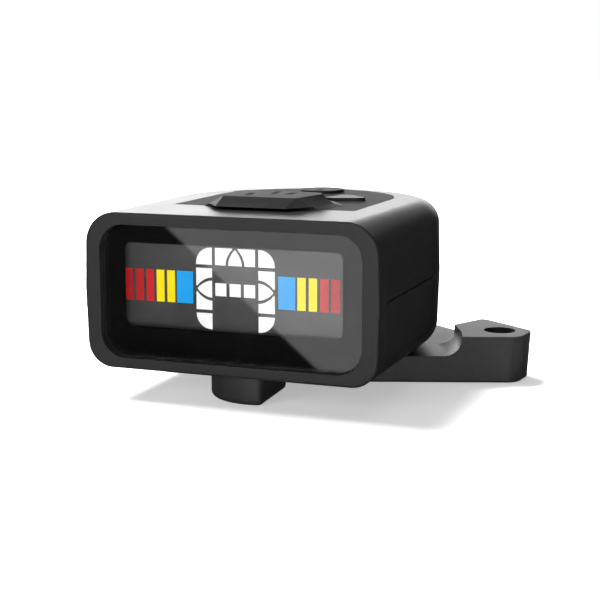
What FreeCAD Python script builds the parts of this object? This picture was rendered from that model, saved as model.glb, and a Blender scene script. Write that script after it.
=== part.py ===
import FreeCAD, Part
import math
import os

# Small screw-on headstock tuner: a D-shaped display body that swivels on a flat mounting bracket.
#
# Working frame, millimetres: X runs along the display, -Y is the way the display faces, +Z is up.
# Y = 0 is the front face of the rim, Z = 0 is the datum of the body's inside, just above its underside.
# Every shape is moved at the end so that the origin is the bracket's screw hole, on its underside.

Vec = FreeCAD.Vector
X_AXIS = Vec(1, 0, 0)
Z_AXIS = Vec(0, 0, 1)

# ---------------------------------------------------------------- driving dimensions
BODY_WIDTH = 28.8
BODY_BOTTOM = -0.15
BODY_TOP = 14.5
STRAIGHT_SIDE = 18.6            # length of the flat sides, up to the centre of the round back
DRAFT = 0.22                    # how far the sides lean in from the seam to the top or bottom
SEAM_Z = 7.3                    # height of the joint between the two shells
SEAM_GAP = 0.12
RIM_DEPTH = 1.7                 # the upper shell's front rim runs down in front of the lower shell
SEAM_CORNER = 1.2
TOP_EDGE_R = (3.0, 2.3)         # at the rim, and from the end of the straight sides on
BOTTOM_EDGE_R = (2.5, 2.5)
RIM_EDGE_R = 0.25
WALL = 1.1
TOP_WALL = 1.3
FIT = 0.06                      # clearance round parts that move
REST = 0.02                     # gap between parts that rest on each other

WINDOW_HALF = 12.8
WINDOW_Z = (0.9, 13.4)
WINDOW_R = 2.4
GLASS_HALF = 10.7               # visible part of the display
GLASS_Z = (3.85, 11.65)
LENS_Y = (0.5, 1.0)

PLATE_THICK = 2.70              # bracket plate and foot
PLATE_GAP = 0.15                # between the plate and the tuner body
BOSS_TOP = 1.67
ARM_ANGLE = 19.1                # front edge of the arm, degrees from the display's direction
HOLE_X = 20.4
HOLE_Y = 21.5
HOLE_R = 1.6
PIVOT_Y = 13.5
HUB_R = 3.6
BOSS_CLEAR_R = 18.0             # the boss stays outside this circle about the pivot
FOOT_CENTRE = (1.1, 6.5)        # the foot is a round pad with its right side cut flat
FOOT_R = 5.1
FOOT_RIGHT = (2.72, 2.3)        # x of the flat right side in front and at the back
FOOT_BACK = 9.8
FOOT_FRONT_R = 0.6              # upright corners where the right side meets the round front
FOOT_BACK_R = 1.4
UNDER_RECESS = 0.4              # the hub stands clear of the surface that the foot and the arm rest on

CELL_R = 10.0                   # CR2032 coin cell
CELL_THICK = 3.2
CELL_Y = 18.2
TRAY_HALF = 10.9
TRAY_Z = (3.5, 7.2)

BOARD_Z = (9.7, 10.5)

BACK_R = BODY_WIDTH / 2
PLATE_TOP = BODY_BOTTOM - PLATE_GAP
BRACKET_BOTTOM = PLATE_TOP - PLATE_THICK
SHIFT = Vec(-HOLE_X, -HOLE_Y, -BRACKET_BOTTOM)


# ---------------------------------------------------------------- small helpers
def box(x, y, z):
    """A box between pairs of coordinates."""
    return Part.makeBox(x[1] - x[0], y[1] - y[0], z[1] - z[0], Vec(x[0], y[0], z[0]))


def rod(x, y, z, radius):
    """An upright cylinder from z[0] to z[1]."""
    return Part.makeCylinder(radius, z[1] - z[0], Vec(x, y, z[0]))


def ring(x, y, z, outer, inner):
    return rod(x, y, z, outer).cut(rod(x, y, z, inner))


def polygon(points, z):
    """A closed wire through plan points at one height."""
    corners = [Vec(px, py, z) for px, py in points]
    return Part.makePolygon(corners + corners[:1])


def prism(points, z):
    face = Part.Face(polygon(points, z[0]))
    return face.extrude(Vec(0, 0, z[1] - z[0]))


def rounded_window(half, z, radius, y, centre_x=0.0):
    """A rectangle with round corners in the display's plane, made solid from y[0] to y[1]."""
    block = box((centre_x - half, centre_x + half), y, z)
    corners = [e for e in block.Edges if abs(e.Vertexes[0].Y - e.Vertexes[1].Y) > 1e-6]
    return block.makeFillet(radius, corners)


def rounded_plate(x, y, z, radius):
    """A flat plate with round upright corners."""
    block = box(x, y, z)
    corners = [e for e in block.Edges if abs(e.Vertexes[0].Z - e.Vertexes[1].Z) > 1e-6]
    return block.makeFillet(radius, corners)


def upright_edges(shape, keep):
    """Straight upright edges of a shape whose plan position passes a test."""
    found = []
    for edge in shape.Edges:
        ends = edge.Vertexes
        if len(ends) == 2 and abs(ends[0].Z - ends[1].Z) > 1e-6 and keep(ends[0].X, ends[0].Y):
            found.append(edge)
    return found


def d_wire(half, front, z, centre_y=STRAIGHT_SIDE):
    """The plan outline: flat front, straight sides, half-round back."""
    left_front = Vec(-half, front, z)
    right_front = Vec(half, front, z)
    right_back = Vec(half, centre_y, z)
    left_back = Vec(-half, centre_y, z)
    back = Part.Arc(right_back, Vec(0, centre_y + half, z), left_back).toShape()
    return Part.Wire([
        Part.makeLine(left_front, right_front),
        Part.makeLine(right_front, right_back),
        back,
        Part.makeLine(left_back, left_front),
    ])


def d_solid(half, front, z, centre_y=STRAIGHT_SIDE):
    return Part.Face(d_wire(half, front, z[0], centre_y)).extrude(Vec(0, 0, z[1] - z[0]))


def tube_path(points, radius, bend):
    """A round tube along straight runs joined by tangent arcs."""
    edges = []
    start = points[0]
    for here, after in zip(points[1:-1], points[2:]):
        into = (here - start).normalize()
        away = (after - here).normalize()
        reach = bend * math.tan(into.getAngle(away) / 2)
        first = here - into * reach
        last = here + away * reach
        inward = (away - into).normalize()
        middle_depth = bend / math.cos(into.getAngle(away) / 2) - bend
        edges.append(Part.makeLine(start, first))
        edges.append(Part.Arc(first, here + inward * middle_depth, last).toShape())
        start = last
    edges.append(Part.makeLine(start, points[-1]))
    path = Part.Wire(edges)
    direction = (points[1] - points[0]).normalize()
    section = Part.Wire([Part.makeCircle(radius, points[0], direction)])
    return path.makePipeShell([section], True, False)


def save(name, *shapes):
    """Write one node, as one solid or as a group of separate solids."""
    solids = [solid for shape in shapes for solid in shape.Solids]
    moved = [solid.translated(SHIFT) for solid in solids]
    result = moved[0] if len(moved) == 1 else Part.makeCompound(moved)
    result.exportStep(os.path.join("parts", name + ".step"))


# ---------------------------------------------------------------- outer form of the tuner body
def half_form(z_end, edge_radius):
    """The form from the seam to the top or the bottom, with its long edge and front edges rounded.

    The right half is rounded first and then mirrored, so that the long edge's radius can change
    from the rim to the end of the straight side alike on both sides.
    """
    wires = [d_wire(BACK_R, 0, SEAM_Z), d_wire(BACK_R - DRAFT, 0, z_end)]
    right = Part.makeLoft(wires, True, True).common(box((0, 40), (-5, 60), (-20, 40)))
    long_edge = []
    for edge in right.Edges:
        level = all(abs(v.Z - z_end) < 1e-6 for v in edge.Vertexes)
        on_front = all(abs(v.Y) < 1e-6 for v in edge.Vertexes)
        in_middle = all(abs(v.X) < 1e-6 for v in edge.Vertexes)
        if level and not on_front and not in_middle:
            long_edge.append(edge)
    right = right.makeFillet(edge_radius[0], edge_radius[1], long_edge)
    rim_edges = []
    for edge in right.Edges:
        on_front = all(abs(v.Y) < 1e-6 for v in edge.Vertexes)
        on_seam = all(abs(v.Z - SEAM_Z) < 1e-6 for v in edge.Vertexes)
        in_middle = all(abs(v.X) < 1e-6 for v in edge.Vertexes)
        if on_front and not on_seam and not in_middle:
            rim_edges.append(edge)
    right = right.makeFillet(RIM_EDGE_R, rim_edges)
    return right.fuse(right.mirror(Vec(0, 0, 0), X_AXIS)).removeSplitter()


def outer_form():
    return half_form(BODY_TOP, TOP_EDGE_R).fuse(half_form(BODY_BOTTOM, BOTTOM_EDGE_R))


def lower_region(inset):
    """Everything behind the rim and below the seam, with the corner between them rounded."""
    front = RIM_DEPTH + inset
    top = SEAM_Z - inset
    block = box((-20, 20), (front, 50), (-5, top))
    corner = [e for e in block.Edges
              if all(abs(v.Y - front) < 1e-6 and abs(v.Z - top) < 1e-6 for v in e.Vertexes)]
    return block.makeFillet(SEAM_CORNER, corner)


def key_hole(outline, grow):
    """The outline of a key, widened, as a tall cutter."""
    return outline(grow, (BODY_TOP - TOP_WALL - 1, BODY_TOP + 3))


# ---------------------------------------------------------------- keys on the top
KEY_FLANGE = 0.5
LOW_KEY_HEIGHT = 0.32
LOW_KEY_EDGE_R = 0.07
ROUND_KEY = (-0.1, 25.95)
ROUND_KEY_R = 2.35
PITCH_KEY = [(3.1, 16.6), (7.8, 18.0), (4.2, 21.3)]     # corners of the right one before rounding
PITCH_KEY_R = 0.7
PITCH_KEY_AT = (5.2, 18.7)      # where its switch sits below

# The power button: half outlines of its foot and of its top from the front edge to the back.
WEDGE_HEIGHT = 1.07
WEDGE_FOOT = [(3.4, 4.7), (5.75, 7.9), (6.7, 13.0), (5.2, 15.6)]
WEDGE_CREST = [(3.7, 7.85), (3.75, 8.05), (4.6, 12.8), (3.9, 14.3)]
WEDGE_SECTIONS = 5
WEDGE_HOLLOW = 2.0              # how strongly the sides sweep out towards the foot
WEDGE_REVEAL = 0.3              # gap under the front, which overhangs the shell
WEDGE_STEM = [(5.82, 8.3), (6.7, 13.0), (5.2, 15.6)]


def grown(points, amount):
    """A convex outline moved outwards by an amount."""
    if amount == 0:
        return points
    wire = polygon(points, 0).makeOffset2D(amount, 2)
    return [(v.X, v.Y) for v in wire.OrderedVertexes]


def both_sides(half_outline):
    """A closed outline from its right half."""
    return half_outline + [(-x, y) for x, y in reversed(half_outline)]


def wedge_outline(grow, z):
    return prism(grown(both_sides(WEDGE_STEM), grow), z)


def round_outline(grow, z):
    return rod(ROUND_KEY[0], ROUND_KEY[1], z, ROUND_KEY_R + grow)


def pitch_outline(side):
    """An outline function for the three-cornered key on the right (1) or left (-1)."""
    def outline(grow, z):
        key = prism(grown([(side * x, y) for x, y in PITCH_KEY], grow), z)
        return key.makeFillet(PITCH_KEY_R + grow, upright_edges(key, lambda x, y: True))
    return outline


KEYS = {
    "power_button": wedge_outline,
    "flip_button": round_outline,
    "pitch_up_button": pitch_outline(1),
    "pitch_down_button": pitch_outline(-1),
}


def wedge_bump():
    """The power button's raised top: a flat slope in front, sides and back that sweep out to the foot."""
    sections = []
    for index in range(WEDGE_SECTIONS + 1):
        rise = index / WEDGE_SECTIONS
        points = []
        for foot_at, crest in zip(WEDGE_FOOT, WEDGE_CREST):
            in_front = crest[1] < WEDGE_STEM[0][1]
            share = rise if in_front else rise ** (1 / WEDGE_HOLLOW)
            points.append((foot_at[0] + (crest[0] - foot_at[0]) * share,
                           foot_at[1] + (crest[1] - foot_at[1]) * share))
        sections.append(polygon(both_sides(points), BODY_TOP + WEDGE_HEIGHT * rise))
    bump = Part.makeLoft(sections, True, True)
    return bump.cut(box((-10, 10), (0, WEDGE_STEM[0][1]), (BODY_TOP - 1, BODY_TOP + WEDGE_REVEAL)))


def make_key(name, outline):
    """A key: cap above the panel, stem through the top wall and a flange that keeps it in."""
    wall_bottom = BODY_TOP - TOP_WALL
    flange = (wall_bottom - FIT - 0.35, wall_bottom - FIT)
    if name == "power_button":
        key = outline(0, (flange[0], BODY_TOP)).fuse(wedge_bump())
    else:
        key = outline(0, (flange[0], BODY_TOP + LOW_KEY_HEIGHT))
        rim = [e for e in key.Edges if all(v.Z > BODY_TOP + LOW_KEY_HEIGHT - 1e-6 for v in e.Vertexes)]
        key = key.makeFillet(LOW_KEY_EDGE_R, rim)
    return key.fuse(outline(KEY_FLANGE, flange)).removeSplitter()


# ---------------------------------------------------------------- shells and the panel on top
PANEL_HALF = 9.25
PANEL_FRONT = 8.6
PANEL_CENTRE_Y = 20.2
PANEL_THICK = 0.5


def panel_outline(inset, z):
    return d_solid(PANEL_HALF - inset, PANEL_FRONT + inset, z, PANEL_CENTRE_Y)


def control_panel():
    """A thin D-shaped inlay that lies flush in the top and lets the keys through."""
    top = BODY_TOP
    panel = panel_outline(0.04, (top - PANEL_THICK + REST, top))
    for outline in KEYS.values():
        panel = panel.cut(key_hole(outline, FIT))
    return panel


CASE_SCREW_XY = [(-10.4, 6.3), (10.4, 6.3)]
POST_R = 1.75
SCREW_R = 0.7
POST_SPLIT_Z = 7.0


def upper_shell(form):
    inner = d_solid(BACK_R - WALL - DRAFT, LENS_Y[1] + REST, (-1, BODY_TOP - TOP_WALL))
    shell = form.cut(lower_region(-SEAM_GAP / 2))
    posts = [rod(x, y, (POST_SPLIT_Z, BODY_TOP - 1), POST_R) for x, y in CASE_SCREW_XY]
    cavity = inner.cut(box((-20, 20), (-1, RIM_DEPTH), (-5, WINDOW_Z[0] - 0.02)))
    shell = shell.cut(cavity)
    for post in posts:
        shell = shell.fuse(post.common(form))
    window = rounded_window(WINDOW_HALF, WINDOW_Z, WINDOW_R, (-1, LENS_Y[1] + 0.5))
    shell = shell.cut(window)
    shell = shell.cut(panel_outline(0, (BODY_TOP - PANEL_THICK, BODY_TOP + 1)))
    for outline in KEYS.values():
        shell = shell.cut(key_hole(outline, FIT))
    for x, y in CASE_SCREW_XY:
        shell = shell.cut(rod(x, y, (POST_SPLIT_Z - 1, 11.0), SCREW_R))
    return shell.removeSplitter()


INSERT_Z = (0.35, 3.0)
INSERT_R = 2.0
PIVOT_POST_R = 3.3
TONGUE = 0.45                   # thickness of the lip that crosses the seam inside
TONGUE_Z = (SEAM_Z - 1.5, SEAM_Z + 0.7)
TONGUE_FRONT = RIM_DEPTH + 4
SCREW_HEAD_ROOM = (1.5, 1.7)    # radius and top of the recess for a case screw's head


def lower_shell(form):
    """The belly pan, open at the back for the battery drawer."""
    shell = form.common(lower_region(SEAM_GAP / 2))
    inner = d_solid(BACK_R - WALL - DRAFT, RIM_DEPTH + SEAM_GAP + WALL, (WALL, 20))
    tongue_out = d_solid(BACK_R - WALL - DRAFT - FIT, TONGUE_FRONT, TONGUE_Z)
    tongue_in = d_solid(BACK_R - WALL - DRAFT - FIT - TONGUE, 0, (0, 20))
    tongue = tongue_out.cut(tongue_in)
    under_tongue = d_solid(BACK_R - WALL - DRAFT, TONGUE_FRONT, (TONGUE_Z[0], SEAM_Z - 0.4))
    shell = shell.cut(inner).fuse(tongue).fuse(under_tongue.cut(tongue_in))
    display_room = box((-HOLDER_HALF - 0.1, HOLDER_HALF + 0.1), (0, HOLDER_Y[1] + 0.1), (WALL, 20))
    shell = shell.cut(display_room)
    for x, y in CASE_SCREW_XY:
        shell = shell.fuse(rod(x, y, (WALL - 0.2, POST_SPLIT_Z - REST), POST_R))
    shell = shell.fuse(rod(0, PIVOT_Y, (WALL - 0.2, INSERT_Z[1]), PIVOT_POST_R))
    slot_z = (TRAY_Z[0] - 0.1, SEAM_Z + 2)
    shell = shell.cut(box((-TRAY_HALF - 0.08, TRAY_HALF + 0.08), (STRAIGHT_SIDE, 40), slot_z))
    for x, y in CASE_SCREW_XY:
        shell = shell.cut(rod(x, y, (-1, 20), SCREW_R + 0.15))
        shell = shell.cut(rod(x, y, (-1, SCREW_HEAD_ROOM[1]), SCREW_HEAD_ROOM[0]))
    shell = shell.cut(rod(0, PIVOT_Y, (-1, 20), INSERT_R))
    shell = shell.cut(rod(0, PIVOT_Y, (-1, 0.2), WASHER_R[0] + 0.1))
    return shell.removeSplitter()


CASE_HEAD_Z = (0.8, SCREW_HEAD_ROOM[1] - REST)
CASE_HEAD_R = 1.35
CASE_SCREW_END = 10.6


def cross_slot(x, y, z, reach, width):
    """The cutter for a cross recess in a screw's head."""
    long_way = box((x - reach, x + reach), (y - width / 2, y + width / 2), z)
    return long_way.fuse(box((x - width / 2, x + width / 2), (y - reach, y + reach), z))


def case_screws():
    """Two self-tapping screws from below, with a domed head and a cross recess."""
    screws = []
    for x, y in CASE_SCREW_XY:
        head = rod(x, y, CASE_HEAD_Z, CASE_HEAD_R)
        rim = [e for e in head.Edges if all(v.Z < CASE_HEAD_Z[0] + 1e-6 for v in e.Vertexes)]
        head = head.makeFillet(0.3, rim)
        shaft = rod(x, y, (CASE_HEAD_Z[1] - 0.1, CASE_SCREW_END), SCREW_R - REST)
        recess = cross_slot(x, y, (CASE_HEAD_Z[0] - 0.1, CASE_HEAD_Z[0] + 0.4), 1.0, 0.36)
        screws.append(head.fuse(shaft).cut(recess).removeSplitter())
    return screws


# ---------------------------------------------------------------- display stack behind the window
MASK_Y = (1.02, 1.14)
LCD_Y = (1.6, 2.7)
FILM_Y = (2.74, 2.86)
GUIDE_Y = (2.9, 4.2)
HOLDER_Y = (1.16, 4.3)
HOLDER_HALF = 12.4
HOLDER_Z = (1.5, 12.9)
LCD_HALF = 11.7
LCD_Z = (2.9, 12.4)


def window_lens():
    lens = rounded_window(WINDOW_HALF - 0.03, (WINDOW_Z[0] + 0.03, WINDOW_Z[1] - 0.03), WINDOW_R, LENS_Y)
    front_rim = [e for e in lens.Edges if all(abs(v.Y - LENS_Y[0]) < 1e-6 for v in e.Vertexes)]
    return lens.makeChamfer(0.12, front_rim)


def display_mask():
    """A black frame sheet behind the lens; the display shows through its opening."""
    low, high = WINDOW_Z
    sheet = rounded_window(WINDOW_HALF - 0.03, (low + 0.03, high - 0.03), WINDOW_R, MASK_Y)
    return sheet.cut(rounded_window(GLASS_HALF, GLASS_Z, 0.7, (0, 5)))


def display_holder():
    """A frame that locates the display glass and the light guide."""
    outer = rounded_window(HOLDER_HALF, HOLDER_Z, 0.8, HOLDER_Y)
    pocket = box((-LCD_HALF - 0.05, LCD_HALF + 0.05), (0, 10), (LCD_Z[0] - 0.05, LCD_Z[1] + 0.05))
    return outer.cut(pocket)


CABLE_X = (2.6, 8.2)
CABLE_THICK = 0.12
CABLE_END_Y = 9.0


def display_cable():
    """The flat flexible strip from the display's foot, up its back and under the circuit board."""
    back = GUIDE_Y[1] + 0.25
    low = LCD_Z[0] + 0.3
    level = (BOARD_Z[0] - 0.27, BOARD_Z[0] - 0.15)
    upright = box(CABLE_X, (back, back + CABLE_THICK), (low, level[1]))
    along = box(CABLE_X, (back, CABLE_END_Y), level)
    foot = box(CABLE_X, (GUIDE_Y[1] + REST, back + CABLE_THICK), (low, low + CABLE_THICK))
    return upright.fuse(along).fuse(foot).removeSplitter()


def cable_socket():
    """The connector on the underside of the board that takes the display's cable."""
    return box((CABLE_X[0] - 0.5, CABLE_X[1] + 0.5), (CABLE_END_Y + REST, CABLE_END_Y + 1.6),
               (BOARD_Z[0] - 0.95, BOARD_Z[0] - REST))


# ---------------------------------------------------------------- electronics
BOARD_FRONT = 6.9
SWITCH_AT = [(0.0, 11.0), PITCH_KEY_AT, (-PITCH_KEY_AT[0], PITCH_KEY_AT[1]), ROUND_KEY]
SWITCH_TOP = 11.7
SWITCH_HALF = 1.6
SWITCH_RISE = 0.3               # how far the plunger stands out of its can
PLUNGER_R = 0.9
PAD_R = 1.3                     # the raised pad of the silicone sheet over each switch


def circuit_board():
    board = d_solid(11.5, BOARD_FRONT, BOARD_Z, STRAIGHT_SIDE - 1.2)
    for x, y in CASE_SCREW_XY:
        board = board.cut(rod(x, y, (0, 20), POST_R + 0.15))
    return board


def tact_switches():
    """One low push switch under each key: metal can with a round plunger."""
    switches = []
    for x, y in SWITCH_AT:
        can_z = (BOARD_Z[1] + REST, SWITCH_TOP - SWITCH_RISE)
        sides = ((x - SWITCH_HALF, x + SWITCH_HALF), (y - SWITCH_HALF, y + SWITCH_HALF))
        can = rounded_plate(sides[0], sides[1], can_z, 0.3)
        switches.append(can.fuse(rod(x, y, (can_z[0] + 0.2, SWITCH_TOP), PLUNGER_R)))
    return switches


def keypad():
    """A silicone sheet over the switches, with a raised pad under each key."""
    sheet = d_solid(10.6, 7.6, (SWITCH_TOP + REST, SWITCH_TOP + 0.32), STRAIGHT_SIDE - 0.6)
    for x, y in SWITCH_AT:
        sheet = sheet.fuse(rod(x, y, (SWITCH_TOP + 0.1, SWITCH_TOP + 0.5), PAD_R))
    for x, y in CASE_SCREW_XY:
        sheet = sheet.cut(rod(x, y, (0, 20), POST_R + 0.15))
    return sheet.removeSplitter()


CHIP_AT = (-6.2, 22.6)
CHIP_HALF = 2.5
LEAD_REACH = 3.1
LEAD_HALF = 0.12
LEAD_PITCH = 0.65


def microcontroller():
    """A square moulded chip with leads on four sides, under the board."""
    x0, y0 = CHIP_AT
    body_z = (BOARD_Z[0] - 0.9, BOARD_Z[0] - 0.1)
    lead_z = (BOARD_Z[0] - 0.35, BOARD_Z[0] - REST)
    across_x = (x0 - LEAD_REACH, x0 + LEAD_REACH)
    across_y = (y0 - LEAD_REACH, y0 + LEAD_REACH)
    chip = box((x0 - CHIP_HALF, x0 + CHIP_HALF), (y0 - CHIP_HALF, y0 + CHIP_HALF), body_z)
    for step in range(-3, 4):
        x = x0 + step * LEAD_PITCH
        y = y0 + step * LEAD_PITCH
        chip = chip.fuse(box((x - LEAD_HALF, x + LEAD_HALF), across_y, lead_z))
        chip = chip.fuse(box(across_x, (y - LEAD_HALF, y + LEAD_HALF), lead_z))
    return chip


def crystal_can():
    return rounded_plate((-1.6, 1.6), (21.4, 23.0), (BOARD_Z[0] - 0.8, BOARD_Z[0] - REST), 0.35)


SMALL_PART_ROWS = (19.0, 25.6)
SMALL_PARTS_PER_ROW = 5
SMALL_PART_X = 2.6
SMALL_PART_PITCH = 1.5


def small_chip_parts():
    """Capacitors and resistors on the underside of the board, in two rows."""
    parts = []
    for row, y in enumerate(SMALL_PART_ROWS):
        for step in range(SMALL_PARTS_PER_ROW):
            x = SMALL_PART_X + step * SMALL_PART_PITCH
            tall = 0.6 if (step + row) % 2 else 0.45
            parts.append(box((x - 0.4, x + 0.4), (y - 0.8, y + 0.8), (BOARD_Z[0] - tall, BOARD_Z[0] - REST)))
    return parts


def backlight_leds():
    """Two small side-firing lights at the top of the light guide."""
    lights = []
    for x in (-5.0, 5.0):
        lights.append(box((x - 1.3, x + 1.3), (GUIDE_Y[0], GUIDE_Y[1]), (12.0, 12.38)))
    return lights


PIEZO_XY = (-7.2, 11.7)
PIEZO_R = 3.9


def piezo_disc():
    """Brass disc glued to the floor of the lower shell."""
    return rod(PIEZO_XY[0], PIEZO_XY[1], (WALL + REST, WALL + 0.25), PIEZO_R)


def piezo_ceramic():
    return rod(PIEZO_XY[0], PIEZO_XY[1], (WALL + 0.27, WALL + 0.45), PIEZO_R - 1.2)


def piezo_wires():
    """Two thin wires from the disc, forwards and then up to the board's underside."""
    wires = []
    for x, start_y in ((-5.4, 10.2), (-7.4, 8.9)):
        low = WALL + 0.75
        front = BOARD_FRONT + 0.45
        points = [Vec(x, start_y, low), Vec(x, front, low), Vec(x, front, BOARD_Z[0] - REST)]
        wires.append(tube_path(points, 0.22, 0.6))
    return wires


# ---------------------------------------------------------------- battery drawer at the back
TRAY_FLOOR = 0.55
CELL_Z = (TRAY_Z[0] + TRAY_FLOOR + REST, TRAY_Z[0] + TRAY_FLOOR + REST + CELL_THICK)
CONTACT_THICK = 0.2


def battery_tray():
    """A drawer whose curved face completes the back of the body and whose ring holds the cell."""
    tall = (0, 20)
    inside = d_solid(BACK_R - WALL - DRAFT - 0.05, 0, tall)
    strip = box((-TRAY_HALF, TRAY_HALF), (0, 40), tall)
    deck = rod(0, CELL_Y, TRAY_Z, TRAY_HALF).fuse(box((-TRAY_HALF, TRAY_HALF), (CELL_Y, 40), TRAY_Z))
    deck = deck.common(inside)
    face = d_solid(BACK_R - 0.1, STRAIGHT_SIDE + 3, TRAY_Z).common(strip)
    face = face.cut(d_solid(BACK_R - WALL - DRAFT - 0.1, 0, tall))
    pocket_z = (TRAY_Z[0] + TRAY_FLOOR, 20)
    tray = deck.fuse(face).cut(rod(0, CELL_Y, pocket_z, CELL_R + 0.1))
    tray = tray.cut(rod(0, CELL_Y, tall, 4.0))
    tray = tray.cut(box((-3.2, 3.2), (0, CELL_Y - 6), tall))
    tray = tray.cut(rod(0, CELL_Y + CELL_R, pocket_z, 2.6))
    groove_z = (TRAY_Z[1] - 1.5, TRAY_Z[1] - 0.8)
    groove = d_solid(BACK_R + 1, 0, groove_z).cut(d_solid(BACK_R - 0.55, -1, groove_z))
    return tray.cut(groove.common(box((-4.5, 4.5), (20, 40), tall))).removeSplitter()


def coin_cell():
    """A stepped coin cell: wide can below, smaller cap above."""
    z0, z1 = CELL_Z
    can = rod(0, CELL_Y, (z0, z1 - 0.35), CELL_R)
    can_rim = [e for e in can.Edges if all(abs(v.Z - z0) < 1e-6 for v in e.Vertexes)]
    can = can.makeFillet(0.4, can_rim)
    return can.fuse(rod(0, CELL_Y, (z1 - 0.4, z1), CELL_R - 1.3)).removeSplitter()


def leaf(points, x, thick):
    """A bent metal strip: straight stretches between (y, z) points, joined by round bends."""
    strip = None
    width = x[1] - x[0]
    for (y0, z0), (y1, z1) in zip(points, points[1:]):
        length = math.hypot(y1 - y0, z1 - z0)
        flat = Part.makeBox(width, length, thick, Vec(x[0], 0, -thick / 2))
        flat.rotate(Vec(0, 0, 0), X_AXIS, math.degrees(math.atan2(z1 - z0, y1 - y0)))
        flat.translate(Vec(0, y0, z0))
        strip = flat if strip is None else strip.fuse(flat)
    for y, z in points:
        strip = strip.fuse(Part.makeCylinder(thick / 2, width, Vec(x[0], y, z), X_AXIS))
    return strip.removeSplitter()


def negative_contact():
    """A springy leaf under the board that presses on top of the cell."""
    top = BOARD_Z[0] - REST - CONTACT_THICK / 2
    low = CELL_Z[1] + REST + CONTACT_THICK / 2
    return leaf([(10.6, top), (12.6, top), (15.6, low), (17.0, low), (17.6, low + 0.4)],
                (-1.4, 1.4), CONTACT_THICK)


def positive_contact():
    """A leaf that hangs from the board in front of the cell and touches its rim."""
    top = BOARD_Z[0] - REST - CONTACT_THICK / 2
    near = CELL_Y - CELL_R - REST - CONTACT_THICK / 2
    return leaf([(9.6, top), (7.3, top), (7.3, 6.7), (near, 6.0), (near, 5.2), (7.5, 4.7)],
                (-1.4, 1.4), CONTACT_THICK)


# ---------------------------------------------------------------- swivel
SHOULDER_R = 1.6
HEAD_R = 2.5
THREAD_R = 1.25
HEAD_Z = (BRACKET_BOTTOM + UNDER_RECESS + 0.05, BRACKET_BOTTOM + UNDER_RECESS + 0.95)
COUNTERBORE_Z = HEAD_Z[1] + 0.3
WASHER_R = (3.0, 1.9)
WASHER_TOP = 0.18
KNURLS = 16
KNURL_R = 0.16


def pivot_insert():
    """Knurled brass bush moulded into the floor of the lower shell."""
    bush = ring(0, PIVOT_Y, INSERT_Z, INSERT_R, THREAD_R)
    for step in range(KNURLS):
        angle = 2 * math.pi * step / KNURLS
        x = (INSERT_R + 0.06) * math.cos(angle)
        y = PIVOT_Y + (INSERT_R + 0.06) * math.sin(angle)
        bush = bush.cut(rod(x, y, (INSERT_Z[0] - 1, INSERT_Z[1] + 1), KNURL_R))
    return bush.cut(ring(0, PIVOT_Y, (1.5, 1.8), INSERT_R + 1, INSERT_R - 0.15))


def pivot_screw():
    """Shoulder screw from below: head in the bracket's counterbore, thread in the insert."""
    head = rod(0, PIVOT_Y, HEAD_Z, HEAD_R)
    rim = [e for e in head.Edges if all(abs(v.Z - HEAD_Z[0]) < 1e-6 for v in e.Vertexes)]
    head = head.makeFillet(0.25, rim)
    shoulder = rod(0, PIVOT_Y, (HEAD_Z[1] - 0.1, INSERT_Z[0] - REST), SHOULDER_R)
    thread = rod(0, PIVOT_Y, (0, INSERT_Z[1] - 0.2), THREAD_R - REST)
    recess = cross_slot(0, PIVOT_Y, (-5, HEAD_Z[0] + 0.45), 1.5, 0.55)
    return head.fuse(shoulder).fuse(thread).cut(recess).removeSplitter()


def friction_washer():
    """A thin plastic washer between the bracket and the body, sunk into the body's floor."""
    return ring(0, PIVOT_Y, (PLATE_TOP + REST, WASHER_TOP), WASHER_R[0], WASHER_R[1])


def spring_washer():
    """A thin washer over the screw's head that keeps the swivel firm."""
    return ring(0, PIVOT_Y, (COUNTERBORE_Z - 0.28, COUNTERBORE_Z - REST), HEAD_R, SHOULDER_R + FIT)


# ---------------------------------------------------------------- mounting bracket
ARM_POINT = (17.7, 16.9)        # a point on the arm's straight front edge, where the boss begins
ARM_END_X = 23.05
ARM_TIP_R = 1.7
TIP_BACK = (23.5, 22.45)
TIP_BACK_R = 1.3
REAR_CORNER = (9.9, 33.05)
REAR_CORNER_R = 1.1
REAR_INNER = (6.2, 31.2)
HUB_SIDE = (-3.0, 15.4)
BOSS_WALL_R = 1.8               # hollow fillet between the plate and the boss
BOSS_BACK_Y = 26.9
ARM_REST_X = 9.0                # the arm rests on its underside from here to the tip
BOSS_BACK_LEFT = [(15.1, 22.2), (17.3, 26.9), (10, 26.9), (10, 22.2)]   # cut away behind the body
FOOT_EDGE_R = 0.45
UNDER_EDGE_R = 0.3
LEAN = 0.05                     # how far the upright walls lean in towards the underside, per mm


def arm_front(x):
    """The plan point of the arm's front edge at x."""
    return (x, ARM_POINT[1] + (x - ARM_POINT[0]) * math.tan(math.radians(ARM_ANGLE)))


def arm_block(top):
    """The wedge-shaped plan of the plate: out to the screw hole and back behind the body."""
    outline = [arm_front(0.0), arm_front(ARM_END_X), TIP_BACK, REAR_CORNER, REAR_INNER, HUB_SIDE]
    foot_outline = grown(outline, -LEAN * (BOSS_TOP - BRACKET_BOTTOM))
    top_outline = grown(outline, -LEAN * (BOSS_TOP - top)) if top < BOSS_TOP else outline
    block = Part.makeLoft([polygon(foot_outline, BRACKET_BOTTOM), polygon(top_outline, top)], True, True)
    block = block.makeFillet(ARM_TIP_R, upright_edges(block, lambda x, y: x > 22 and y < 20))
    block = block.makeFillet(TIP_BACK_R, upright_edges(block, lambda x, y: x > 22 and y > 21.5))
    return block.makeFillet(REAR_CORNER_R, upright_edges(block, lambda x, y: y > 30))


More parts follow.
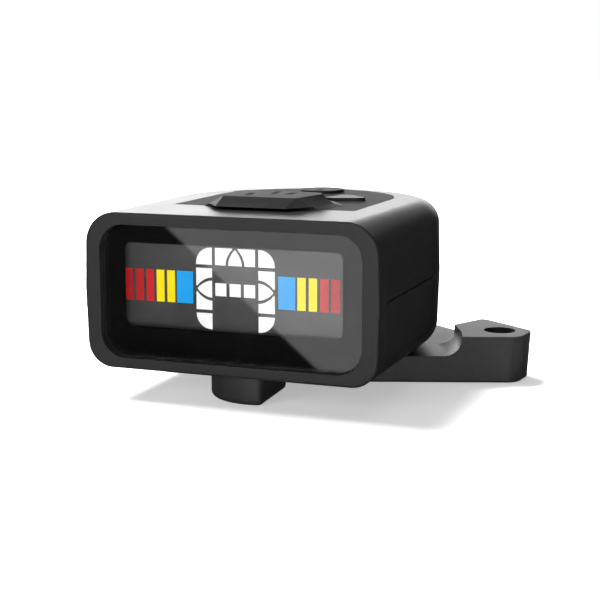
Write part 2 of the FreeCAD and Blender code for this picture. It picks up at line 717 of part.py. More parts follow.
def foot():
    """The round pad under the front of the body, with its right side and its back cut flat."""
    z = (BRACKET_BOTTOM, PLATE_TOP)
    left = FOOT_CENTRE[0] - FOOT_R
    front = FOOT_CENTRE[1] - FOOT_R
    pad = rod(FOOT_CENTRE[0], FOOT_CENTRE[1], z, FOOT_R)
    pad = pad.cut(box((-20, 20), (FOOT_CENTRE[1], 20), z))
    pad = pad.fuse(box((left, FOOT_RIGHT[0]), (FOOT_CENTRE[1], FOOT_BACK), z))
    beyond = [(FOOT_RIGHT[0], front), (20, front), (20, FOOT_BACK), (FOOT_RIGHT[1], FOOT_BACK)]
    pad = pad.cut(prism(beyond, z)).removeSplitter()
    front_corner = upright_edges(pad, lambda x, y: x > FOOT_RIGHT[1] and y < FOOT_CENTRE[1])
    pad = pad.makeFillet(FOOT_FRONT_R, front_corner)
    pad = pad.makeFillet(FOOT_BACK_R, upright_edges(pad, lambda x, y: y > FOOT_BACK - 1e-3))
    under = [e for e in pad.Edges if all(abs(v.Z - z[0]) < 1e-6 for v in e.Vertexes)]
    return pad.makeFillet(FOOT_EDGE_R, under)


def mounting_bracket():
    """Plate, hub, foot and raised boss, moulded in one; the foot and the arm rest at one level."""
    hub_bottom = BRACKET_BOTTOM + UNDER_RECESS
    hub_z = (hub_bottom, PLATE_TOP)
    boss = arm_block(BOSS_TOP).common(boss_region())
    arm = arm_block(PLATE_TOP).fuse(boss).removeSplitter()
    arm = arm.cut(box((-10, ARM_REST_X), (0, 40), (BRACKET_BOTTOM - 1, hub_bottom)))
    under = [e for e in arm.Edges
             if all(abs(v.Z - BRACKET_BOTTOM) < 1e-6 for v in e.Vertexes)]
    arm = arm.makeFillet(UNDER_EDGE_R, under)
    neck = box((FOOT_CENTRE[0] - FOOT_R + 1, FOOT_RIGHT[1] - 1), (FOOT_CENTRE[1], PIVOT_Y), hub_z)
    bracket = arm.fuse(rod(0, PIVOT_Y, hub_z, HUB_R)).fuse(neck).fuse(foot()).removeSplitter()
    bracket = bracket.cut(rod(HOLE_X, HOLE_Y, (-9, 9), HOLE_R))
    bracket = bracket.cut(rod(0, PIVOT_Y, (-9, 9), SHOULDER_R + 0.05))
    bracket = bracket.cut(rod(0, PIVOT_Y, (-9, COUNTERBORE_Z), HEAD_R + 0.15))
    return bracket.removeSplitter()


def boss_region():
    """Plan of the raised boss: outside the swivelling body's circle, with a hollow foot fillet."""
    tall = (BRACKET_BOTTOM - 1, BOSS_TOP)
    near = (10, 30)
    region = box(near, (10, BOSS_BACK_Y), tall).cut(rod(0, PIVOT_Y, tall, BOSS_CLEAR_R))
    region = region.cut(prism(BOSS_BACK_LEFT, tall))
    hollow_z = PLATE_TOP + BOSS_WALL_R
    fillet = ring(0, PIVOT_Y, (PLATE_TOP - 0.5, hollow_z), BOSS_CLEAR_R + 0.5, BOSS_CLEAR_R - BOSS_WALL_R)
    torus = Part.makeTorus(BOSS_CLEAR_R - BOSS_WALL_R, BOSS_WALL_R, Vec(0, PIVOT_Y, hollow_z), Z_AXIS)
    fillet = fillet.cut(torus).common(box(near, (10, BOSS_BACK_LEFT[0][1]), tall))
    return region.fuse(fillet)


# ---------------------------------------------------------------- write every node
def main():
    os.makedirs("parts", exist_ok=True)
    form = outer_form()
    save("mounting_bracket", mounting_bracket())
    save("spring_washer", spring_washer())
    save("friction_washer", friction_washer())
    save("pivot_screw", pivot_screw())
    save("pivot_insert", pivot_insert())
    save("upper_shell", upper_shell(form))
    save("lower_shell", lower_shell(form))
    save("case_screws", *case_screws())
    save("control_panel", control_panel())
    for name, outline in KEYS.items():
        save(name, make_key(name, outline))
    save("keypad_membrane", keypad())
    save("window_lens", window_lens())
    save("display_mask", display_mask())
    save("display_glass", box((-LCD_HALF, LCD_HALF), LCD_Y, LCD_Z))
    save("colour_film", box((-LCD_HALF + 0.3, LCD_HALF - 0.3), FILM_Y, (LCD_Z[0] + 0.3, LCD_Z[1] - 0.3)))
    save("light_guide", box((-LCD_HALF, LCD_HALF), GUIDE_Y, (LCD_Z[0], 11.9)))
    save("backlight_leds", *backlight_leds())
    save("display_holder", display_holder())
    save("display_cable", display_cable())
    save("cable_socket", cable_socket())
    save("circuit_board", circuit_board())
    save("tact_switches", *tact_switches())
    save("microcontroller", microcontroller())
    save("crystal_can", crystal_can())
    save("small_chip_parts", *small_chip_parts())
    save("piezo_disc", piezo_disc())
    save("piezo_ceramic", piezo_ceramic())
    save("piezo_wires", *piezo_wires())
    save("battery_tray", battery_tray())
    save("coin_cell", coin_cell())
    save("positive_contact", positive_contact())
    save("negative_contact", negative_contact())


main()
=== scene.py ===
import math
import bpy
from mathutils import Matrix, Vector


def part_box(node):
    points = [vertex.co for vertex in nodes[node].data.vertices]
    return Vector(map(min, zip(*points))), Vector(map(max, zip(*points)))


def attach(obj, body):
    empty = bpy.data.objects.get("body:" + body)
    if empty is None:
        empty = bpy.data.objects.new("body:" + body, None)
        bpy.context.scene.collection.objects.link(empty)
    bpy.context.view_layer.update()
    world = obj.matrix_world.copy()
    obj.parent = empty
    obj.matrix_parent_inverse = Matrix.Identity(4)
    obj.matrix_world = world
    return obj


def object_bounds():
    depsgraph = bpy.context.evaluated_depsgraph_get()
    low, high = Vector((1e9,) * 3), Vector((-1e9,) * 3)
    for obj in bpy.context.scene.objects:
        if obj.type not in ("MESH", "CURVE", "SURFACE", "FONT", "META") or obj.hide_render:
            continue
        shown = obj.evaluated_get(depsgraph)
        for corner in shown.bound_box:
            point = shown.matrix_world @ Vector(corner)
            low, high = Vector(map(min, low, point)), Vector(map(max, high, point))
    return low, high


# Looks of a small screw-on headstock tuner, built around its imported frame. Metres, +Z up, display facing -Y.

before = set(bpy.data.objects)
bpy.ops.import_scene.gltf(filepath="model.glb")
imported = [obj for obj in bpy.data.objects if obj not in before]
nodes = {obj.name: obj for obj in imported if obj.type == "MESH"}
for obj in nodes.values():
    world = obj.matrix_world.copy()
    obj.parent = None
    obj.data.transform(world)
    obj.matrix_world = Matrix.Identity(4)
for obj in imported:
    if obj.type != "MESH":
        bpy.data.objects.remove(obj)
cad_low, cad_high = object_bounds()
MM = 0.001

# ---------------------------------------------------------------- camera
CAMERA_PLACE = Vector((27.02, -129.49, 30.61)) * MM
CAMERA_DOWN = 9.92
CAMERA_TURN = 20.49
CAMERA_LENS = 79.86


def make_camera():
    data = bpy.data.cameras.new("camera")
    data.lens = CAMERA_LENS
    data.sensor_width = 36.0
    data.clip_start = 0.005
    data.clip_end = 20.0
    camera = bpy.data.objects.new("camera", data)
    camera.location = CAMERA_PLACE
    camera.rotation_euler = (math.radians(90.0 - CAMERA_DOWN), 0.0, math.radians(CAMERA_TURN))
    bpy.context.scene.collection.objects.link(camera)
    bpy.context.scene.camera = camera


# ---------------------------------------------------------------- node helpers
class Graph:
    """A short way to write a node tree: add() makes a node, and a socket given as a value is linked."""

    def __init__(self, tree):
        self.tree = tree
        tree.nodes.clear()

    def add(self, kind, *values, out=0, **settings):
        node = self.tree.nodes.new(kind)
        inputs = {}
        for key, value in settings.items():
            if hasattr(node, key):
                setattr(node, key, value)
            else:
                inputs[key.replace("_", " ")] = value
        pairs = list(zip(node.inputs, values)) + [(node.inputs[key], value) for key, value in inputs.items()]
        for socket, value in pairs:
            if value is None:
                continue
            if isinstance(value, bpy.types.NodeSocket):
                self.tree.links.new(value, socket)
            else:
                socket.default_value = value
        return node if out is None else node.outputs[out]

    def math(self, operation, a, b=None, clamp=False):
        return self.add("ShaderNodeMath", a, b, operation=operation, use_clamp=clamp)

    def vector(self, operation, a, b=None, out=0):
        return self.add("ShaderNodeVectorMath", a, b, operation=operation, out=out)

    def ramp(self, value, low, high, to_low=0.0, to_high=1.0, smooth=True):
        kind = "SMOOTHSTEP" if smooth else "LINEAR"
        return self.add("ShaderNodeMapRange", value, low, high, to_low, to_high, interpolation_type=kind)

    def mix(self, factor, a, b):
        node = self.add("ShaderNodeMix", out=None, data_type="RGBA")
        for socket, value in ((node.inputs[0], factor), (node.inputs[6], a), (node.inputs[7], b)):
            if isinstance(value, bpy.types.NodeSocket):
                self.tree.links.new(value, socket)
            else:
                socket.default_value = value
        return node.outputs[2]

    def noise(self, place, scale, detail=2.0, roughness=0.5):
        return self.add("ShaderNodeTexNoise", Vector=place, Scale=scale, Detail=detail, Roughness=roughness)


def grey(value):
    return (value, value, value, 1.0)


def shade(colour, factor):
    return tuple(min(1.0, c * factor) for c in colour[:3]) + (1.0,)


def new_material(name):
    material = bpy.data.materials.new(name)
    material.use_nodes = True
    return material, Graph(material.node_tree)


def place_mm(graph, stretch=(1.0, 1.0, 1.0)):
    """The surface point in millimetres in the object's own frame, stretched along each axis."""
    place = graph.add("ShaderNodeTexCoord", out=3)
    factors = tuple(s / MM for s in stretch)
    return graph.vector("MULTIPLY", place, factors)


def sharp_edge_mask(graph, radius_mm):
    """1 on sharp edges, 0 on flat faces."""
    soft = graph.add("ShaderNodeBevel", samples=4, Radius=radius_mm * MM)
    true = graph.add("ShaderNodeNewGeometry", out=1)
    match = graph.vector("DOT_PRODUCT", soft, true, out=1)
    return graph.ramp(match, 0.995, 0.86)


def finish(graph, **inputs):
    shader = graph.add("ShaderNodeBsdfPrincipled", **inputs)
    graph.add("ShaderNodeOutputMaterial", shader, out=None)


# ---------------------------------------------------------------- materials
def moulded(name, colour, rough, grain=6.0, depth=0.004, edge_highlight_amount=0.25, edge=0.12, mottle=0.18, specular=0.5,
            rounding=0.06):
    """Moulded plastic: spark-eroded grain, faint flow marks, slightly polished edges and a painted highlight
    along the edges.
    """
    material, g = new_material(name)
    place = place_mm(g)
    fine = g.noise(place, grain, 3.0, 0.65)
    broad = g.noise(place, 0.22, 3.0, 0.55)
    blotch = g.noise(place, 1.6, 2.0, 0.5)
    tone = g.math("ADD", g.math("MULTIPLY", broad, 0.6), g.math("MULTIPLY", blotch, 0.4))
    base = g.mix(g.ramp(tone, 0.35, 0.65), shade(colour, 1 - mottle), shade(colour, 1 + mottle))
    edge_highlight = g.math("MULTIPLY", sharp_edge_mask(g, edge), edge_highlight_amount)
    # painted highlight: the base colour is lightened along sharp edges
    base = g.mix(edge_highlight, base, shade(colour, 2.2))
    roughness = g.math("ADD", g.ramp(fine, 0.3, 0.7, rough - 0.05, rough + 0.05, False),
                       g.math("MULTIPLY", broad, 0.06))
    # the same edges are also slightly polished: lower roughness there
    roughness = g.math("SUBTRACT", roughness, g.math("MULTIPLY", edge_highlight, 0.25))
    soft_edge = g.add("ShaderNodeBevel", samples=4, Radius=rounding * MM)
    normal = g.add("ShaderNodeBump", Strength=1.0, Distance=depth * MM, Height=fine, Normal=soft_edge)
    finish(g, Base_Color=base, Roughness=roughness, Normal=normal, Specular_IOR_Level=specular)
    return material


def inside_mark(graph, place, centre, half, turn):
    """1 inside a small turned rectangle of the X-Y plane, 0 outside."""
    offset = graph.vector("SUBTRACT", place, Vector((centre[0], centre[1], 0.0)))
    angle = math.radians(turn)
    along = graph.vector("DOT_PRODUCT", offset, Vector((math.cos(angle), math.sin(angle), 0.0)), out=1)
    across = graph.vector("DOT_PRODUCT", offset, Vector((-math.sin(angle), math.cos(angle), 0.0)), out=1)
    near_x = graph.ramp(graph.math("ABSOLUTE", along), half[0] + 0.04, half[0] - 0.04)
    near_y = graph.ramp(graph.math("ABSOLUTE", across), half[1] + 0.04, half[1] - 0.04)
    return graph.math("MULTIPLY", near_x, near_y)


def marked_key(name, colour, rough, node, marks):
    """Key plastic with small dark marks printed on its top, placed from the key's middle and front."""
    material, g = new_material(name)
    place = place_mm(g)
    low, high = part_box(node)
    fine = g.noise(place, 6.0, 3.0, 0.65)
    broad = g.noise(place, 0.3, 3.0, 0.55)
    base = g.mix(g.ramp(broad, 0.35, 0.65), shade(colour, 0.85), shade(colour, 1.15))
    edge_highlight = g.math("MULTIPLY", sharp_edge_mask(g, 0.12), 0.2)
    # painted highlight: the base colour is lightened along sharp edges
    base = g.mix(edge_highlight, base, shade(colour, 2.2))
    on_top = g.ramp(g.add("ShaderNodeSeparateXYZ", place, out=2), high.z / MM - 0.06, high.z / MM - 0.02)
    ink = None
    for centre, half, turn in marks:
        spot = ((low.x + high.x) / 2 / MM + centre[0], low.y / MM + centre[1])
        shape = inside_mark(g, place, spot, half, turn)
        ink = shape if ink is None else g.math("MAXIMUM", ink, shape)
    ink = g.math("MULTIPLY", ink, on_top)
    base = g.mix(ink, base, grey(0.004))
    roughness = g.ramp(fine, 0.3, 0.7, rough - 0.05, rough + 0.05, False)
    roughness = g.math("ADD", roughness, g.math("MULTIPLY", on_top, 0.14))
    normal = g.add("ShaderNodeBump", Strength=1.0, Distance=0.003 * MM, Height=fine)
    level = g.math("SUBTRACT", 0.46, g.math("MULTIPLY", ink, 0.42))
    finish(g, Base_Color=base, Roughness=roughness, Normal=normal, Specular_IOR_Level=level)
    return material


def metal(name, colour, rough, stretch=(1.0, 1.0, 1.0), scale=4.0):
    """Plated or drawn metal with fine drawing lines and a slight tarnish."""
    material, g = new_material(name)
    lines = g.noise(place_mm(g, stretch), scale, 3.0, 0.6)
    tarnish = g.noise(place_mm(g), 0.6, 3.0, 0.6)
    base = g.mix(g.ramp(tarnish, 0.35, 0.75), colour, shade(colour, 0.72))
    roughness = g.ramp(lines, 0.3, 0.7, rough - 0.06, rough + 0.1, False)
    normal = g.add("ShaderNodeBump", Strength=0.6, Distance=0.004 * MM, Height=lines)
    finish(g, Base_Color=base, Metallic=1.0, Roughness=roughness, Normal=normal)
    return material


def turned_metal(name, colour, rough):
    """Turned metal: rings about the upright axis of the piece."""
    material, g = new_material(name)
    place = place_mm(g)
    rings = g.add("ShaderNodeTexWave", Vector=place, Scale=1.6, Distortion=0.4, wave_type="RINGS",
                  rings_direction="Z", out=1)
    tarnish = g.noise(place, 0.8, 3.0, 0.6)
    base = g.mix(g.ramp(tarnish, 0.35, 0.75), colour, shade(colour, 0.7))
    roughness = g.ramp(rings, 0.0, 1.0, rough - 0.05, rough + 0.08, False)
    normal = g.add("ShaderNodeBump", Strength=0.5, Distance=0.003 * MM, Height=rings)
    finish(g, Base_Color=base, Metallic=1.0, Roughness=roughness, Normal=normal)
    return material


def film(name, colour, rough, weave=3.0, depth=0.002, specular=0.5):
    """Thin film or sheet: faint waviness, slight change of tone."""
    material, g = new_material(name)
    wave = g.noise(place_mm(g), weave, 2.0, 0.5)
    broad = g.noise(place_mm(g), 0.3, 2.0, 0.5)
    base = g.mix(g.ramp(broad, 0.3, 0.7), shade(colour, 0.85), shade(colour, 1.1))
    roughness = g.ramp(wave, 0.3, 0.7, rough - 0.03, rough + 0.05, False)
    normal = g.add("ShaderNodeBump", Strength=0.5, Distance=depth * MM, Height=wave)
    finish(g, Base_Color=base, Roughness=roughness, Normal=normal, Specular_IOR_Level=specular)
    return material


LENS_INDEX = 1.5


def clear_lens(name):
    """Flat clear window: it mirrors by Fresnel and lets the rest through, with a faint smoky streak.

    Both of its faces mirror as if seen from the air: light goes straight through, so the far face must not
    turn into a full mirror at slanting views.
    """
    material, g = new_material(name)
    streak = g.noise(place_mm(g, (0.3, 1.0, 1.0)), 0.35, 3.0, 0.6)
    mirror = g.add("ShaderNodeBsdfGlossy", Color=grey(1.0), Roughness=0.0)
    tint = g.mix(g.ramp(streak, 0.3, 0.8), grey(0.99), grey(0.95))
    through = g.add("ShaderNodeBsdfTransparent", Color=tint)
    from_inside = g.add("ShaderNodeNewGeometry", out=6)
    index = g.ramp(from_inside, 0.0, 1.0, LENS_INDEX, 1 / LENS_INDEX, False)
    share = g.add("ShaderNodeFresnel", IOR=index)
    g.add("ShaderNodeOutputMaterial", g.add("ShaderNodeMixShader", share, through, mirror), out=None)
    return material


def display_ground(name):
    """The unlit face of the display: dark grey with faint clouding and a weak even glow."""
    material, g = new_material(name)
    place = place_mm(g)
    cloud = g.noise(place, 0.25, 2.0, 0.5)
    dots = g.noise(place, 12.0, 1.0, 0.5)
    tone = g.math("ADD", g.math("MULTIPLY", cloud, 0.8), g.math("MULTIPLY", dots, 0.2))
    base = g.mix(g.ramp(tone, 0.3, 0.7), grey(0.027), grey(0.034))
    finish(g, Base_Color=base, Roughness=0.10, Emission_Color=base, Emission_Strength=0.35,
           Specular_IOR_Level=0.8)
    return material


def lit_segment(name, colour):
    """A lit display segment with the display's fine grid; its light falls off towards the display's ends."""
    material, g = new_material(name)
    place = place_mm(g)
    grid = g.noise(place, 9.0, 1.0, 0.5)
    cloud = g.noise(place, 0.5, 1.0, 0.5)
    tone = g.math("ADD", g.math("MULTIPLY", grid, 0.4), g.math("MULTIPLY", cloud, 0.6))
    glow = g.mix(g.ramp(tone, 0.3, 0.7), shade(colour, 0.93), colour)
    x = g.add("ShaderNodeSeparateXYZ", place, out=0)
    from_middle = g.math("ABSOLUTE", g.math("SUBTRACT", x, DISPLAY_X))
    fall = g.ramp(from_middle, SEGMENT_FALL[0], SEGMENT_FALL[1], 1.0, 0.5, False)
    finish(g, Base_Color=shade(colour, 0.03), Roughness=0.1, Emission_Color=glow,
           Emission_Strength=g.math("MULTIPLY", fall, SEGMENT_LIGHT), Specular_IOR_Level=0.8)
    return material


def circuit(name):
    """Green solder resist over copper tracks, with tinned pads on a grid."""
    material, g = new_material(name)
    place = place_mm(g)
    tracks = g.add("ShaderNodeTexBrick", Vector=place, Scale=0.5, Color1=grey(0.0), Color2=grey(0.35),
                   Mortar=grey(1.0), Mortar_Size=0.06, offset=0.5)
    pads = g.add("ShaderNodeTexVoronoi", Vector=place, Scale=0.42, Randomness=0.35)
    pad = g.ramp(pads, 0.20, 0.16)
    resist = g.mix(tracks, (0.008, 0.075, 0.03, 1.0), (0.02, 0.16, 0.06, 1.0))
    base = g.mix(pad, resist, (0.75, 0.73, 0.68, 1.0))
    height = g.math("ADD", g.math("MULTIPLY", tracks, 0.5), pad)
    normal = g.add("ShaderNodeBump", Strength=0.6, Distance=0.02 * MM, Height=height)
    finish(g, Base_Color=base, Metallic=pad, Roughness=g.ramp(pad, 0.0, 1.0, 0.32, 0.22), Normal=normal)
    return material


BLACK_CASE = (0.011, 0.011, 0.0115, 1.0)
BLACK_BRACKET = (0.021, 0.021, 0.0215, 1.0)
PANEL_GREY = (0.013, 0.013, 0.0135, 1.0)
KEY_GREY = (0.012, 0.012, 0.0125, 1.0)
WEDGE_MARKS = [
    ((-2.0, 4.8), (0.36, 1.3), 12.0),
    ((-0.15, 7.0), (0.3, 1.5), 10.0),
    ((1.6, 6.6), (0.42, 1.1), 0.0),
]
ROUND_MARKS = [((0.1, 1.7), (0.42, 0.85), 0.0)]
RED = (0.62, 0.026, 0.030, 1.0)
YELLOW = (1.0, 0.80, 0.010, 1.0)
BLUE = (0.012, 0.37, 0.86, 1.0)
WHITE = (1.0, 1.0, 1.0, 1.0)


def dress_nodes():
    """A material for every node of the frame, by what the piece is made of."""
    case = moulded("case_plastic", BLACK_CASE, 0.34, specular=0.4, mottle=0.08)
    bracket = moulded("bracket_plastic", BLACK_BRACKET, 0.42, rounding=0.14, mottle=0.1, specular=0.35)
    panel = moulded("panel_plastic", PANEL_GREY, 0.66, depth=0.003, specular=0.46, mottle=0.1)
    key = moulded("key_plastic", KEY_GREY, 0.44, depth=0.003, mottle=0.1)
    wedge = marked_key("wedge_key_plastic", KEY_GREY, 0.50, "power_button", WEDGE_MARKS)
    round_key = marked_key("round_key_plastic", KEY_GREY, 0.46, "flip_button", ROUND_MARKS)
    holder = moulded("holder_plastic", (0.02, 0.02, 0.021, 1.0), 0.6, edge_highlight_amount=0.0, specular=0.2)
    nylon = moulded("washer_plastic", (0.8, 0.8, 0.78, 1.0), 0.45, edge_highlight_amount=0.0, mottle=0.05)
    epoxy = moulded("chip_epoxy", (0.02, 0.02, 0.021, 1.0), 0.6, grain=12.0, depth=0.006, edge_highlight_amount=0.0)
    silicone = moulded("silicone", (0.36, 0.37, 0.39, 1.0), 0.62, edge_highlight_amount=0.0, mottle=0.06, specular=0.3)
    ceramic = moulded("ceramic", (0.78, 0.77, 0.72, 1.0), 0.5, grain=14.0, edge_highlight_amount=0.0, mottle=0.08)
    insulation = moulded("insulation", (0.5, 0.02, 0.02, 1.0), 0.4, edge_highlight_amount=0.0)
    steel = metal("plated_steel", (0.62, 0.62, 0.61, 1.0), 0.24, (0.2, 1.0, 1.0))
    turned_steel = turned_metal("turned_steel", (0.52, 0.52, 0.52, 1.0), 0.26)
    brass = turned_metal("turned_brass", (0.8, 0.56, 0.22, 1.0), 0.28)
    spring = metal("spring_steel", (0.7, 0.68, 0.6, 1.0), 0.22, (1.0, 0.15, 1.0))
    mask = film("mask_ink", (0.002, 0.002, 0.0022, 1.0), 0.3, specular=0.03)
    tinted = film("tinted_film", (0.7, 0.7, 0.72, 1.0), 0.25)
    guide = film("light_guide", (0.85, 0.87, 0.9, 1.0), 0.12)
    flex = film("orange_flex", (0.5, 0.2, 0.03, 1.0), 0.3, weave=1.2)
    by_material = {
        case: ("upper_shell", "lower_shell", "battery_tray"),
        bracket: ("mounting_bracket",),
        panel: ("control_panel",),
        key: ("pitch_up_button", "pitch_down_button"),
        wedge: ("power_button",),
        round_key: ("flip_button",),
        clear_lens("clear_lens"): ("window_lens",),
        mask: ("display_mask",),
        display_ground("display_ground"): ("display_glass",),
        tinted: ("colour_film",),
        guide: ("light_guide",),
        flex: ("display_cable",),
        holder: ("display_holder", "cable_socket"),
        nylon: ("friction_washer",),
        circuit("circuit"): ("circuit_board",),
        epoxy: ("microcontroller", "small_chip_parts"),
        silicone: ("keypad_membrane",),
        ceramic: ("piezo_ceramic", "backlight_leds"),
        insulation: ("piezo_wires",),
        steel: ("coin_cell", "crystal_can", "tact_switches"),
        turned_steel: ("pivot_screw", "case_screws", "spring_washer"),
        brass: ("pivot_insert", "piezo_disc"),
        spring: ("positive_contact", "negative_contact"),
    }
    dressed = set()
    for material, names in by_material.items():
        for name in names:
            for slot in nodes[name].material_slots:
                slot.material = material
            dressed.add(name)
    bare = sorted(set(nodes) - dressed)
    if bare:
        raise RuntimeError(f"nodes with no material: {bare}")


# ---------------------------------------------------------------- display segments
glass_low, glass_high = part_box("display_glass")
DISPLAY_X = (glass_low.x + glass_high.x) / 2 / MM + 0.19
DISPLAY_Z = (glass_low.z + glass_high.z) / 2 / MM
INK_BACK = glass_low.y / MM - 0.004
INK_FRONT = INK_BACK - 0.03
SEGMENT_GAP = 0.33
SEGMENT_LIGHT = 1.1
SEGMENT_FALL = (8.0, 11.0)      # from the middle, where the light begins to fall off and where it is halved
ARC_STEPS = 8


def arc(centre, radius, start, end):
    """Points along a circle's arc, angles in degrees."""
    points = []
    for step in range(ARC_STEPS + 1):
        angle = math.radians(start + (end - start) * step / ARC_STEPS)
        points.append((centre[0] + radius * math.cos(angle), centre[1] + radius * math.sin(angle)))
    return points


def plates(name, outlines, material):
    """Thin plates on the display's face, one for each outline of (x, z) points about its middle."""
    verts = []
    faces = []
    for outline in outlines:
        start = len(verts)
        count = len(outline)
        for y in (INK_FRONT, INK_BACK):
            verts += [((DISPLAY_X + x) * MM, y * MM, (DISPLAY_Z + z) * MM) for x, z in outline]
        faces.append(tuple(range(start, start + count)))
        faces.append(tuple(range(start + 2 * count - 1, start + count - 1, -1)))
        for here in range(count):
            after = (here + 1) % count
            faces.append((start + after, start + here, start + count + here, start + count + after))
    mesh = bpy.data.meshes.new(name)
    mesh.from_pydata(verts, [], faces)
    mesh.validate()
    piece = bpy.data.objects.new(name, mesh)
    bpy.context.scene.collection.objects.link(piece)
    mesh.materials.append(material)
    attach(piece, "tuner")


def mirrored(outline):
    return [(-x, z) for x, z in reversed(outline)]


BAR_Z = (-1.47, 1.51)
BLUE_BAR = (4.20, 5.83)
BAR_START = 6.04
BAR_PITCH = 1.078
BAR_WIDTH = 0.78
NARROW_BARS = 5
YELLOW_BARS = 2


def oblong(x, z):
    """The four corners between a pair of x and a pair of z."""
    return [(x[0], z[0]), (x[1], z[0]), (x[1], z[1]), (x[0], z[1])]


def make_bars():
    """The coloured bars on both sides of the letter: a wide blue one, then narrow yellow and red ones."""
    groups = {"blue": [oblong(BLUE_BAR, BAR_Z)], "yellow": [], "red": []}
    for index in range(NARROW_BARS):
        start = BAR_START + index * BAR_PITCH
        group = "yellow" if index < YELLOW_BARS else "red"
        groups[group].append(oblong((start, start + BAR_WIDTH), BAR_Z))
    colours = {"blue": BLUE, "yellow": YELLOW, "red": RED}
    for name, bars in groups.items():
        both = bars + [mirrored(outline) for outline in bars]
        plates("display_bars_" + name, both, lit_segment("lit_" + name, colours[name]))


LETTER_HALF = 3.86
LETTER_Z = (-3.75, 3.80)
COLUMN = 1.57
CORNER_R = 1.45
POINT_HALF = 0.78               # half-height of the pointed pieces beside the middle bar
POINT_REACH = 0.12              # how far the points stay inside the letter's sides
POINT_GAP = SEGMENT_GAP * 0.9
ARCH_HALF = 0.66
ARCH_GAP = SEGMENT_GAP * 0.85
SWEEP = 0.8                     # below 1 the pointed shapes are fuller than a quarter wave
MIDDLE_Z = -0.02
SQUARE_HALF = 0.59


def make_letter():
    """The note letter, drawn as segments with gaps between them."""
    left, inner = -LETTER_HALF, -LETTER_HALF + COLUMN
    top, low = LETTER_Z[1], LETTER_Z[0]
    bar_low = top - COLUMN
    outlines = []
    corner = arc((left + CORNER_R, top - CORNER_R), CORNER_R, 180, 90)
    outlines.append([(left, bar_low)] + corner + [(inner, top), (inner, bar_low)])
    foot_top = low + COLUMN - 0.1
    foot = arc((left + CORNER_R, low + CORNER_R), CORNER_R, 270, 180)
    outlines.append([(inner, low)] + foot + [(left, foot_top), (inner, foot_top)])
    point_run = inner - left - POINT_REACH
    curve = [(left + POINT_REACH + point_run * s / ARC_STEPS,
              POINT_HALF * math.sin(math.pi / 2 * s / ARC_STEPS) ** SWEEP) for s in range(ARC_STEPS + 1)]
    upper = [(x, MIDDLE_Z + z) for x, z in curve]
    lower = [(x, MIDDLE_Z - z) for x, z in curve]
    outlines.append(list(reversed(upper)) + lower[1:])
    grown_up = [(x, z + POINT_GAP) for x, z in upper]
    grown_low = [(x, z - POINT_GAP) for x, z in lower]
    outlines.append([(left, bar_low - SEGMENT_GAP), (left, grown_up[0][1])] + grown_up
                    + [(inner, bar_low - SEGMENT_GAP)])
    outlines.append([(inner, foot_top + SEGMENT_GAP), (inner, grown_low[-1][1])]
                    + list(reversed(grown_low))[1:]
                    + [(left, grown_low[0][1]), (left, foot_top + SEGMENT_GAP)])
    outlines += [mirrored(o) for o in outlines]
    pitch = (2 * (LETTER_HALF - COLUMN) - SEGMENT_GAP) / 3
    half = (pitch - SEGMENT_GAP) / 2
    square_z = (MIDDLE_Z - SQUARE_HALF, MIDDLE_Z + SQUARE_HALF)
    for index in (-1, 0, 1):
        centre = index * pitch
        outlines.append(oblong((centre - half, centre + half), square_z))
    arch_rise = top - POINT_REACH - bar_low
    arch = [(ARCH_HALF * math.cos(math.pi / 2 * s / ARC_STEPS) ** SWEEP, bar_low + arch_rise * s / ARC_STEPS)
            for s in range(ARC_STEPS + 1)]
    outlines.append(arch + [(-x, z) for x, z in reversed(arch[:-1])])
    outer_arch = [(x + ARCH_GAP, z) for x, z in arch]
    beam_end = LETTER_HALF - COLUMN - SEGMENT_GAP
    beam = [(beam_end, bar_low), (beam_end, top), (outer_arch[-1][0], top)] + list(reversed(outer_arch))
    outlines.append(beam)
    outlines.append(mirrored(beam))
    plates("display_letter", outlines, lit_segment("lit_white", WHITE))


# ---------------------------------------------------------------- room, lights and floor
# Bearings are radians from the back, + to the right. A pair is where a part starts and where it is full.
WALL_END = (-1.15, -0.75)
WALL_LEFT = -0.52
WALL_MIDDLE = -0.17
WALL_RIGHT = 0.10
WALL_TOP = (0.29, 0.14)         # as the upward part of the direction
WALL_FOOT = (-0.05, 0.03)
CARD_EDGE = Vector((0.588, -0.384, 0.712))      # the front card lies on this side of its slanting edge
CARD_FRONT = (-0.55, -0.8)
CARD_TOP = (0.75, 0.45)
CARD_RIGHT = (0.75, 0.5)
CARD_LIGHT = 1.10
WALL_LIGHT = 7.4
WALL_MIDDLE_LIGHT = 4.8
CEILING_EDGE = (0.80, 0.97)
CEILING_LIGHT = 0.6
AMBIENT = 0.015
KEY_POWER = 23.0
FILL_POWER = 1.2
FLOOR_REACH = 3.0
FLOOR_GAP = 0.00002
FLOOR_GLOW = 0.47
FLOOR_FAR_GLOW = 1.3            # the floor's own light where the lamps no longer reach it
FLOOR_FADE = (0.08, 0.35)


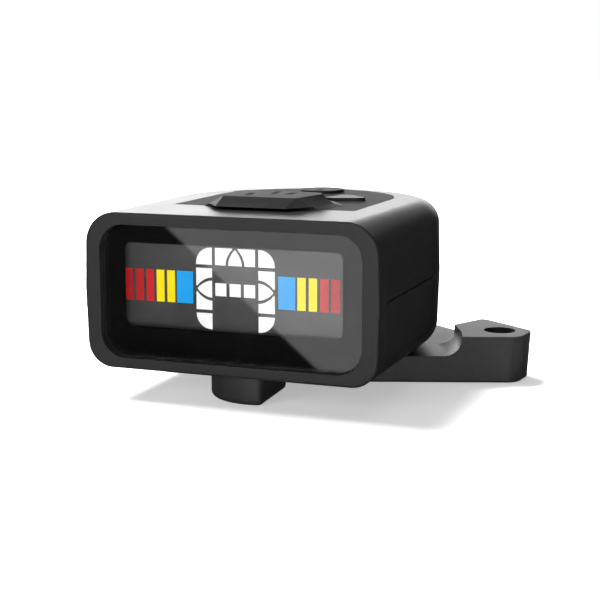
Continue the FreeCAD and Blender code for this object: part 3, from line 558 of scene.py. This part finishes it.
def make_world():
    """Studio that surfaces mirror: a low bright wall behind on the left, a front card and a dim ceiling.

    It is nearly black elsewhere, and the camera itself sees plain white.
    """
    world = bpy.data.worlds.new("studio")
    bpy.context.scene.world = world
    world.use_nodes = True
    g = Graph(world.node_tree)
    way = g.add("ShaderNodeTexCoord", out=0)
    x, y, z = g.add("ShaderNodeSeparateXYZ", way, out=None).outputs[:3]
    turn = g.math("ARCTAN2", x, y)
    wall = g.math("ADD", g.ramp(turn, WALL_LEFT, WALL_MIDDLE, WALL_LIGHT, WALL_MIDDLE_LIGHT, False),
                  g.ramp(turn, WALL_MIDDLE, WALL_RIGHT, 0.0, -WALL_MIDDLE_LIGHT, False))
    wall = g.math("MULTIPLY", wall, g.ramp(turn, WALL_END[0], WALL_END[1]))
    wall = g.math("MULTIPLY", wall, g.math("MULTIPLY", g.ramp(z, *WALL_TOP), g.ramp(z, *WALL_FOOT)))
    inside_edge = g.vector("DOT_PRODUCT", way, CARD_EDGE, out=1)
    card = g.math("MULTIPLY", g.ramp(inside_edge, -0.002, 0.002), g.ramp(y, *CARD_FRONT))
    card = g.math("MULTIPLY", card, g.ramp(z, *CARD_TOP))
    card = g.math("MULTIPLY", g.math("MULTIPLY", card, g.ramp(x, *CARD_RIGHT)), CARD_LIGHT)
    ceiling = g.math("MULTIPLY", g.ramp(z, *CEILING_EDGE), CEILING_LIGHT)
    light = g.math("ADD", g.math("ADD", wall, card), g.math("ADD", ceiling, AMBIENT))
    seen = g.add("ShaderNodeBackground", grey(1.0), 1.0)
    lighting = g.add("ShaderNodeBackground", grey(1.0), light)
    camera_ray = g.add("ShaderNodeLightPath", out=0)
    g.add("ShaderNodeOutputWorld", g.add("ShaderNodeMixShader", camera_ray, lighting, seen), out=None)


def area_light(name, place, size, power):
    """A lamp aimed at the middle of the tuner, for diffuse light only."""
    centre = (cad_low + cad_high) / 2
    data = bpy.data.lights.new(name, "AREA")
    data.shape = "RECTANGLE"
    data.size, data.size_y = size
    data.energy = power
    light = bpy.data.objects.new(name, data)
    light.location = centre + place
    light.rotation_euler = (-place).to_track_quat("-Z", "Y").to_euler()
    light.visible_glossy = False
    bpy.context.scene.collection.objects.link(light)


def make_lights():
    area_light("key", Vector((-0.36, 0.15, 0.56)), (0.34, 0.34), KEY_POWER)
    area_light("front_fill", Vector((-0.25, -0.55, 0.12)), (0.3, 0.3), FILL_POWER)


def make_floor():
    """A plain pale floor under the bracket's flat underside; a soft glow of its own keeps the shadow pale."""
    z = cad_low.z - FLOOR_GAP
    corners = [(x, y, z) for x, y in oblong((-FLOOR_REACH, FLOOR_REACH), (-FLOOR_REACH, FLOOR_REACH))]
    mesh = bpy.data.meshes.new("floor")
    mesh.from_pydata(corners, [], [(0, 1, 2, 3)])
    floor = bpy.data.objects.new("floor", mesh)
    bpy.context.scene.collection.objects.link(floor)
    floor.visible_glossy = False
    material, g = new_material("floor")
    cloud = g.noise(place_mm(g), 0.01, 2.0, 0.5)
    tone = g.mix(cloud, grey(0.86), grey(0.90))
    away = g.vector("LENGTH", g.add("ShaderNodeTexCoord", out=3), out=1)
    glow = g.ramp(away, FLOOR_FADE[0], FLOOR_FADE[1], FLOOR_GLOW, FLOOR_FAR_GLOW)
    finish(g, Base_Color=tone, Roughness=0.9, Specular_IOR_Level=0.1, Emission_Color=tone,
           Emission_Strength=glow)
    mesh.materials.append(material)


bpy.context.scene.view_settings.view_transform = "Standard"
make_camera()
dress_nodes()
make_bars()
make_letter()
make_world()
make_lights()
make_floor()
